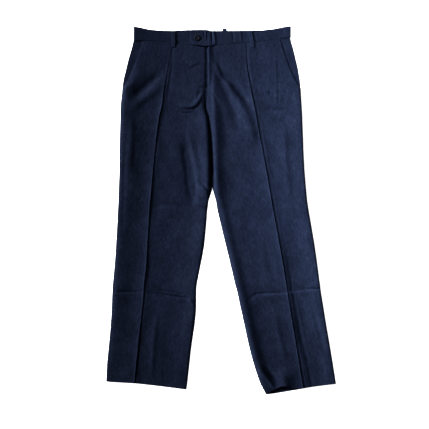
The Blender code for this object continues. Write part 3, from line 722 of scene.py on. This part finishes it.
def linked(name, data):
    """A new object, linked to the scene."""
    made = bpy.data.objects.new(name, data)
    bpy.context.scene.collection.objects.link(made)
    return made


def mesh_object(name, points, faces):
    """A smooth object of points and faces."""
    mesh = bpy.data.meshes.new(name)
    mesh.from_pydata(points, [], faces)
    mesh.shade_smooth()
    return linked(name, mesh)


def shape_object(name, shape):
    """An object of a finished bmesh, which it uses up."""
    mesh = bpy.data.meshes.new(name)
    shape.to_mesh(mesh)
    shape.free()
    return linked(name, mesh)


def dress(made, finish):
    """Gives a piece its finish, on the part's one body."""
    made.data.materials.append(finish)
    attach(made, "root")


def cloth_piece(node, grid, wall, finish, under=False):
    """A wall of cloth inside a grid, with rounded rims, in a solid's place.

    Its map runs with the cloth's threads, in metres.
    """
    x, y = garment(grid.across, grid.down)
    points = np.stack([x, y, grid.height * MM], axis=-1).reshape(-1, 3)
    faces = grid.faces()
    if under:
        faces = faces[:, ::-1]
    made = mesh_object(node + "_cloth", points.tolist(), faces.tolist())
    threads = np.stack([grid.threads * MM, -grid.down * MM], axis=-1).reshape(-1, 2)
    layer = made.data.uv_layers.new(name="threads")
    corners = np.empty(len(made.data.loops), dtype=np.int64)
    made.data.loops.foreach_get("vertex_index", corners)
    layer.data.foreach_set("uv", threads[corners].astype(np.float32).reshape(-1))
    thick = made.modifiers.new("Wall", "SOLIDIFY")
    thick.thickness = wall * MM
    thick.offset = -1
    thick.use_even_offset = False
    rim = made.modifiers.new("Rim", "BEVEL")
    rim.width = min(RIM, wall / RIM_PART) * MM
    rim.segments = 2
    rim.limit_method = "ANGLE"
    rim.angle_limit = math.radians(RIM_ANGLE)
    dress(made, finish)
    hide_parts(node)
    width, length = grid.cut()
    min(grid.area(), width * length)


# Finishes


def new_material(name, roughness, colour=(0.5, 0.5, 0.5)):
    """A material of one colour, with its tree and its shader."""
    made = bpy.data.materials.new(name)
    made.use_nodes = True
    shader = made.node_tree.nodes["Principled BSDF"]
    shader.inputs["Base Color"].default_value = (*colour, 1)
    shader.inputs["Roughness"].default_value = roughness
    return made, made.node_tree, shader


def add_node(tree, kind, **values):
    """A node in a tree, with the named inputs or settings."""
    made = tree.nodes.new(kind)
    for key, value in values.items():
        if key in made.inputs:
            made.inputs[key].default_value = value
        else:
            setattr(made, key, value)
    return made


def worsted():
    """Navy worsted: fine upright streaks over a slow mottle, a twill's ribs and a soft sheen."""
    made, tree, shader = new_material("suiting", WOOL_ROUGHNESS)
    link = tree.links.new
    threads = add_node(tree, "ShaderNodeUVMap", uv_map="threads").outputs["UV"]

    def noise(scale, detail, rough):
        stretch = add_node(tree, "ShaderNodeMapping", Scale=scale)
        link(threads, stretch.inputs["Vector"])
        made_noise = add_node(tree, "ShaderNodeTexNoise", Scale=1, Detail=detail, Roughness=rough)
        link(stretch.outputs["Vector"], made_noise.inputs["Vector"])
        return made_noise.outputs["Fac"]

    def mix(a, b, share):
        add = add_node(tree, "ShaderNodeMix", data_type="FLOAT", Factor=share)
        link(a, add.inputs["A"])
        link(b, add.inputs["B"])
        return add.outputs["Result"]

    def relief(height, distance):
        bump = add_node(tree, "ShaderNodeBump", Strength=RELIEF_STRENGTH, Distance=distance)
        link(height, bump.inputs["Height"])
        return bump

    streak, slub, mottle, fibre = noise(*STREAK), noise(*SLUB), noise(*MOTTLE), noise(*FIBRE)
    ribs = add_node(
        tree, "ShaderNodeTexWave", wave_type="BANDS", bands_direction="DIAGONAL", Scale=TWILL_SCALE,
        Distortion=TWILL_WAVER, Detail=1,
    )
    link(threads, ribs.inputs["Vector"])
    blend = mix(mix(streak, slub, SLUB_SHARE), mottle, MOTTLE_SHARE)
    blend = mix(mix(blend, fibre, FIBRE_SHARE), ribs.outputs["Fac"], TWILL_SHARE)
    spread = add_node(tree, "ShaderNodeMapRange", clamp=True)
    spread.inputs["From Min"].default_value, spread.inputs["From Max"].default_value = TONE_RANGE
    link(blend, spread.inputs["Value"])
    tone = add_node(tree, "ShaderNodeValToRGB")
    elements = tone.color_ramp.elements
    elements[0].color, elements[1].color = (*DARK_THREAD, 1), (*LIGHT_THREAD, 1)
    elements.new(0.5).color = (*MIDDLE_THREAD, 1)
    link(spread.outputs["Result"], tone.inputs["Fac"])
    link(tone.outputs["Color"], shader.inputs["Base Color"])
    shader.inputs["Sheen Weight"].default_value = WOOL_SHEEN
    shader.inputs["Sheen Roughness"].default_value = WOOL_SHEEN_ROUGHNESS
    shader.inputs["Sheen Tint"].default_value = WOOL_SHEEN_TINT
    shader.inputs["Specular IOR Level"].default_value = WOOL_SPECULAR

    fine = relief(mix(ribs.outputs["Fac"], fibre, RELIEF_SHARE), TWILL_RELIEF)
    broad = relief(mix(streak, mottle, RELIEF_SHARE), STREAK_RELIEF)
    link(fine.outputs["Normal"], broad.inputs["Normal"])
    link(broad.outputs["Normal"], shader.inputs["Normal"])
    return made


def grained(name):
    """A finish whose tone wavers in a fine grain."""
    grain = GRAINS[name]
    made, tree, shader = new_material(name, grain.roughness)
    shader.inputs["Specular IOR Level"].default_value = grain.specular
    shader.inputs["Metallic"].default_value = grain.metallic
    place = add_node(tree, "ShaderNodeTexCoord")
    noise = add_node(
        tree, "ShaderNodeTexNoise", Scale=grain.scale, Detail=grain.detail, Distortion=grain.distortion
    )
    tree.links.new(place.outputs["Object"], noise.inputs["Vector"])
    tone = add_node(tree, "ShaderNodeValToRGB")
    dark, light = tone.color_ramp.elements
    dark.color, light.color = (*grain.dark, 1), (*grain.light, 1)
    tree.links.new(noise.outputs["Fac"], tone.inputs["Fac"])
    tree.links.new(tone.outputs["Color"], shader.inputs["Base Color"])
    return made


# Pieces


def front(name, side, folds, finish):
    """A front panel: crease, folds and a turned hem. Its grid is kept for the sewing."""
    grid = Grid(name, FRONT_STEP, crease=side, lines=FRONT_LINES)
    outer, inner = ("left", "right") if side == RIGHT else ("right", "left")
    leg_only = ramp(grid.down, SEAM_END - SEAM_FADE, SEAM_END + SEAM_FADE)
    tighten(grid, outer, ramp(grid.down[:, 0], *TIGHT_ROWS))
    tighten(grid, inner, leg_only[:, 0])
    solid = grid.height.copy()
    add_folds(grid, folds)
    add_crease(grid, side)
    add_waves(grid, side)
    outer_off, inner_off = getattr(grid, "from_" + outer), getattr(grid, "from_" + inner)
    wide = SEAM_CALM + (MOUTH_CALM[side] - SEAM_CALM) * (1 - ramp(grid.down, *MOUTH_LOW))
    calm = ramp(outer_off / wide, 0, 1) * (1 - leg_only * (1 - ramp(inner_off, 0, SEAM_CALM)))
    grid.height[:] = solid + (grid.height - solid) * calm
    stitched = np.exp(-(((grid.from_bottom - HEM_STITCH) / HEM_STITCH_HALF) ** 2))
    turned = 1 - ramp(grid.from_bottom, HEM_STITCH, HEM_STITCH + HEM_SOFT)
    grid.height += HEM_TURNED * turned - HEM_STITCH_DEEP * stitched
    if side == RIGHT:
        below_fly = ramp(grid.down, *SEAM_DIP_STARTS) * ramp(SEAM_END - grid.down, 0, SEAM_DIP_ENDS)
        grid.height -= SEAM_DIP * below_fly * np.exp(-grid.from_right / SEAM_DIP_REACH)
    grid.roll(*FRONT_ROLL)
    np.maximum(grid.height, LOWEST_FRONT, out=grid.height)
    cloth_piece(name, grid, CLOTH, finish)
    return grid


def back(name, side, finish):
    """A back panel, flat on the surface, with the pressed crease and the hem's stitches as grooves."""
    grid = Grid(name, BACK_STEP, crease=side, lines=BACK_LINES, under=True, passes=0)
    crease = np.exp(-((grid.threads / BACK_CREASE_HALF) ** 2))
    hem = np.exp(-(((grid.from_bottom - HEM_STITCH) / BACK_CREASE_HALF) ** 2))
    grid.height += BACK_CREASE * crease * ramp(grid.down, *CREASE_DEEPENS)
    grid.height += BACK_CREASE / 2 * hem
    grid.down -= BACK_TUCK * (1 - ramp(grid.from_top, 0, BACK_TUCK_REACH))
    cloth_piece(name, grid, BACK_OUTER, finish, under=True)


def upper_piece(
    name, finish, wall, step=SMALL_STEP, upright=True, roll=SMALL_ROLL, waves=SMALL_WAVES,
    passes=SMALL_PASSES, folds=(),
):
    """A smaller, rounded piece of cloth that shows on the front. Its grid is kept for the sewing."""
    grid = Grid(name, step, upright=upright, passes=passes)
    add_folds(grid, folds)
    add_waves(grid, SMALL_SEED, waves)
    grid.roll(*roll)
    cloth_piece(name, grid, wall, finish)
    return grid


def under_piece(name, finish, wall, step=SMALL_STEP, upright=False):
    """A smaller piece of cloth that lies flat on the surface."""
    grid = Grid(name, step, upright=upright, under=True, passes=0)
    cloth_piece(name, grid, wall, finish, under=True)


def beside_edge(grid, edge, inset, start, end):
    """A line on a grid at a set distance inside one of its upright edges."""
    off = getattr(grid, "from_" + edge)
    line = []
    for i in range(grid.rows):
        order = np.argsort(off[i])
        across = np.interp(inset, off[i][order], grid.across[i][order])
        down = np.interp(inset, off[i][order], grid.down[i][order])
        if start <= down <= end:
            line.append((across, down))
    return line


def capsule(a, b, radius):
    """A short thread between two points, thick in its middle and sunk at both ends."""
    a, b = np.array(a), np.array(b)
    way = (b - a) / np.linalg.norm(b - a)
    side = np.cross(way, (0, 0, 1.0))
    side /= np.linalg.norm(side)
    up = np.cross(side, way)
    points = [a - up * radius]
    for share, wide, lift in THREAD_RINGS:
        middle = a + (b - a) * share + up * radius * lift
        for k in range(THREAD_SIDES):
            turn = 2 * math.pi * k / THREAD_SIDES
            points.append(middle + radius * wide * (math.cos(turn) * side + math.sin(turn) * up))
    points.append(b - up * radius)
    faces = []
    last = len(points) - 1
    for k in range(THREAD_SIDES):
        after = (k + 1) % THREAD_SIDES
        faces.append((0, 1 + after, 1 + k))
        faces.append((last, last - THREAD_SIDES + k, last - THREAD_SIDES + after))
        for ring in range(len(THREAD_RINGS) - 1):
            low = 1 + ring * THREAD_SIDES
            faces.append((low + k, low + after, low + THREAD_SIDES + after, low + THREAD_SIDES + k))
    return points, faces


def threads_object(name, ends, radius, finish):
    """Threads between pairs of points in the tables' frame, as one joined mesh."""
    points, faces = [], []
    for a, b in ends:
        made, sides_made = capsule(
            [c * MM for c in (a[0], -a[1], a[2])], [c * MM for c in (b[0], -b[1], b[2])], radius * MM
        )
        faces += [tuple(i + len(points) for i in face) for face in sides_made]
        points += [(p[0] + FRONT_X, p[1] + WAIST_Y, p[2]) for p in made]
    dress(mesh_object(name, points, faces), finish)


def stitch_ends(tree, path):
    """Both ends of each stitch along a line on the cloth."""
    path = np.array(path, float)
    steps = np.concatenate([[0], np.cumsum(np.linalg.norm(np.diff(path, axis=0), axis=1))])
    ends = []
    for start in np.arange(0, steps[-1] - STITCH_LENGTH, STITCH_PITCH):
        pair = []
        for at in (start, start + STITCH_LENGTH):
            across, down = np.interp(at, steps, path[:, 0]), np.interp(at, steps, path[:, 1])
            pair.append((across, down, height_on(tree, across, down)))
        ends.append(pair)
    return ends


def bar_tack_ends(tree, start, end):
    """A dense bar of threads laid across the line between two places."""
    start, end = np.array(start, float), np.array(end, float)
    way = (end - start) / np.linalg.norm(end - start)
    across_way = np.array([-way[1], way[0]])
    ends = []
    for at in np.arange(0, np.linalg.norm(end - start), TACK_PITCH):
        middle = start + way * at
        pair = [middle + across_way * TACK_WIDTH / 2, middle - across_way * TACK_WIDTH / 2]
        high = height_on(tree, *middle) + TACK_LIFT
        ends.append([(*place, high) for place in pair])
    return ends


def sewing(fronts, finish):
    """The stitches that hold the mouths, the fly and their ends."""
    for name, edge in MOUTH_EDGES.items():
        tree = fronts[name].surface()
        line = beside_edge(fronts[name], edge, MOUTH_STITCH, *MOUTH_STITCHED)
        ends = stitch_ends(tree, line)
        outward = -1 if edge == "left" else 1
        for across, down in (line[0], line[-1]):
            out, inward = MOUTH_TACK
            ends += bar_tack_ends(tree, (across + outward * out, down), (across - outward * inward, down))
        if name == "front_left":
            ends += stitch_ends(tree, fine_path(FLY_STITCH))
            ends += bar_tack_ends(tree, *FLY_TACK)
        threads_object(name + "_stitches", ends, STITCH_RADIUS, finish)


def loop_sewing(name, grid, finish):
    """Two lines of stitches down a belt loop, and a tack at its lower end."""
    tree = grid.surface()
    top, bottom = grid.down.min() + LOOP_STITCH_END, grid.down.max() - LOOP_STITCH_END
    ends = []
    for edge in ("left", "right"):
        ends += stitch_ends(tree, beside_edge(grid, edge, LOOP_STITCH, top, bottom))
    middle = grid.columns // 2
    low = grid.rows - 1 - int(np.argmax(grid.down[::-1, middle] < bottom))
    across, down = grid.across[low, middle], grid.down[low, middle]
    ends += bar_tack_ends(tree, (across - LOOP_TACK_HALF, down), (across + LOOP_TACK_HALF, down))
    threads_object(name + "_stitches", ends, STITCH_RADIUS, finish)


def turned_button(base):
    """The button's body, turned from its half section."""
    shape = bmesh.new()
    rings = []
    for out, up in BUTTON_SECTION:
        ring = []
        for k in range(BUTTON_SIDES):
            turn = 2 * math.pi * k / BUTTON_SIDES
            x, y = garment(
                BUTTON_ACROSS + out * BUTTON_RADIUS * math.cos(turn),
                BUTTON_DOWN + out * BUTTON_RADIUS * math.sin(turn),
            )
            ring.append(shape.verts.new((x, y, (base + up * BUTTON_THICK) * MM)))
        rings.append(ring)
    for a, b in zip(rings, rings[1:]):
        for k in range(BUTTON_SIDES):
            shape.faces.new((a[k], a[k - 1], b[k - 1], b[k]))
    shape.faces.new(rings[0])
    shape.faces.new(rings[-1])
    bmesh.ops.recalc_face_normals(shape, faces=shape.faces)
    made = shape_object("button_turned", shape)
    made.data.shade_smooth()
    return made


def drill(made, base):
    """Cuts the button's four holes."""
    drills = bmesh.new()
    for x, y in ((-1, -1), (-1, 1), (1, -1), (1, 1)):
        cx, cy = garment(BUTTON_ACROSS + x * BUTTON_HOLE_OUT, BUTTON_DOWN + y * BUTTON_HOLE_OUT)
        cone = bmesh.ops.create_cone(
            drills, cap_ends=True, segments=BUTTON_HOLE_SIDES, radius1=BUTTON_HOLE * MM,
            radius2=BUTTON_HOLE * MM, depth=BUTTON_DRILL * MM,
        )
        bmesh.ops.translate(drills, vec=(cx, cy, (base + BUTTON_THICK / 2) * MM), verts=cone["verts"])
    tool = shape_object("button_drills", drills)
    holes = made.modifiers.new("Holes", "BOOLEAN")
    holes.object = tool
    holes.solver = "EXACT"
    shaped = bpy.data.meshes.new_from_object(made.evaluated_get(bpy.context.evaluated_depsgraph_get()))
    shaped.set_sharp_from_angle(angle=math.radians(BUTTON_SHARP))
    made.modifiers.clear()
    made.data = shaped
    bpy.data.objects.remove(tool)


def button(finish, thread):
    """The turned button with a sunk middle, four holes and the threads that cross it."""
    base = BUTTON_LOW[2] / MM
    made = turned_button(base)
    drill(made, base)
    dress(made, finish)
    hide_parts("button_waist")
    top = base + BUTTON_THREAD_SEAT * BUTTON_THICK + BUTTON_THREAD_LIFT
    ends = []
    for shift in BUTTON_THREADS:
        for side in (-1, 1):
            across = BUTTON_ACROSS + (side * BUTTON_HOLE_OUT + shift)
            upper, lower = BUTTON_DOWN - BUTTON_THREAD_HALF, BUTTON_DOWN + BUTTON_THREAD_HALF
            ends.append([(across, upper, top), (across, lower, top)])
    threads_object("button_threads", ends, BUTTON_THREAD_RADIUS, thread)


def zip_teeth(finish):
    """The closed zip's teeth, which bite from both sides in turn."""
    shape = bmesh.new()
    width, length, height = TOOTH
    for k, down in enumerate(np.arange(*ZIP_TEETH, TOOTH_PITCH / 2)):
        side = 1 if k % 2 else -1
        x, y = garment(ZIP_CENTRE + side * TOOTH_OFF, down)
        cube = bmesh.ops.create_cube(shape, size=1)
        size = [v * MM for v in (width, length * TOOTH_SHARE, height)]
        bmesh.ops.scale(shape, vec=size, verts=cube["verts"])
        bmesh.ops.translate(shape, vec=(x, y, (ZIP_TOOTH_BASE + height / 2) * MM), verts=cube["verts"])
    made = shape_object("zip_teeth", shape)
    rounding = made.modifiers.new("Rounding", "BEVEL")
    rounding.width = TOOTH_ROUND * MM
    rounding.segments = 2
    dress(made, finish)


# The studio


def add_light(name, light):
    """A sun or a soft spot that points at its target."""
    data = bpy.data.lights.new(name, light.kind)
    data.energy = light.energy
    data.color = light.colour
    if light.kind == "SUN":
        data.angle = light.size
    else:
        data.shadow_soft_size = light.size
        data.spot_size = math.radians(light.width)
        data.spot_blend = 1
    made = linked(name, data)
    made.location = light.place
    made.rotation_mode = "QUATERNION"
    made.rotation_quaternion = (Vector(light.target) - Vector(light.place)).to_track_quat("-Z", "Y")


def studio():
    """A pale floor that glows, a low key light from the left and two soft spots on the legs."""
    shape = bmesh.new()
    bmesh.ops.create_grid(shape, x_segments=1, y_segments=1, size=FLOOR_REACH)
    floor = shape_object("floor", shape)
    pale, _, shader = new_material("floor_paper", FLOOR_ROUGHNESS, FLOOR_COLOUR)
    floor.data.materials.append(pale)
    shader.inputs["Emission Color"].default_value = (1, 1, 1, 1)
    shader.inputs["Emission Strength"].default_value = FLOOR_GLOW
    floor.location = (0, 0, -FLOOR_DROP)
    for name, light in LIGHTS.items():
        add_light(name, light)
    world = bpy.data.worlds.new("studio")
    bpy.context.scene.world = world
    world.use_nodes = True
    sky = world.node_tree.nodes["Background"].inputs
    sky["Color"].default_value = SKY_COLOUR
    sky["Strength"].default_value = SKY_STRENGTH
    shown = bpy.context.scene.view_settings
    shown.view_transform = "Standard"
    shown.look = "High Contrast"


def camera():
    """Straight above, so that a pixel covers what it covers in the photograph."""
    data = bpy.data.cameras.new("camera")
    made = linked("camera", data)
    middle = PHOTO_PIXELS / 2
    data.sensor_width = SENSOR
    data.lens = SENSOR * CAMERA_HEIGHT / (PHOTO_PIXELS * PIXEL)
    made.location = (
        FRONT_X + (middle - FRONT_PIXEL) * PIXEL,
        WAIST_Y - (middle - WAIST_PIXEL) * PIXEL,
        CAMERA_HEIGHT,
    )
    bpy.context.scene.camera = made


def main():
    """The studio, the panels, the waistband, the facings and loops, and then the button and the zip."""
    camera()
    studio()
    wool, thread = worsted(), grained("thread")
    back("back_right", RIGHT, wool)
    back("back_left", LEFT, wool)
    fronts = {
        "front_right": front("front_right", RIGHT, RIGHT_FOLDS, wool),
        "front_left": front("front_left", LEFT, LEFT_FOLDS, wool),
    }
    sewing(fronts, thread)
    for side in ("right", "left"):
        under_piece("waistband_back_" + side, wool, BAND)
    for side, folds in (("right", BAND_END_FOLDS), ("left", BAND_FOLDS)):
        upper_piece(
            "waistband_front_" + side, wool, BAND, step=BAND_STEP, upright=False,
            roll=BAND_ROLL, waves=BAND_WAVES, passes=BAND_PASSES, folds=folds,
        )
    for side in ("right", "left"):
        upper_piece("pocket_facing_" + side, wool, CLOTH)
    for side in ("right", "left"):
        name = "belt_loop_front_" + side
        grid = upper_piece(
            name, wool, LOOP, step=LOOP_STEP, roll=LOOP_ROLL, waves=LOOP_WAVES
        )
        loop_sewing(name, grid, thread)
    under_piece("belt_loop_back", wool, LOOP, step=LOOP_STEP, upright=True)
    button(grained("button_horn"), thread)
    brass = grained("zip_metal")
    zip_teeth(brass)
    for name, finish in (("fly_zip", grained("zip_tape")), ("zip_slider", brass)):
        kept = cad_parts[name].data.materials
        kept.clear()
        kept.append(finish)


main()
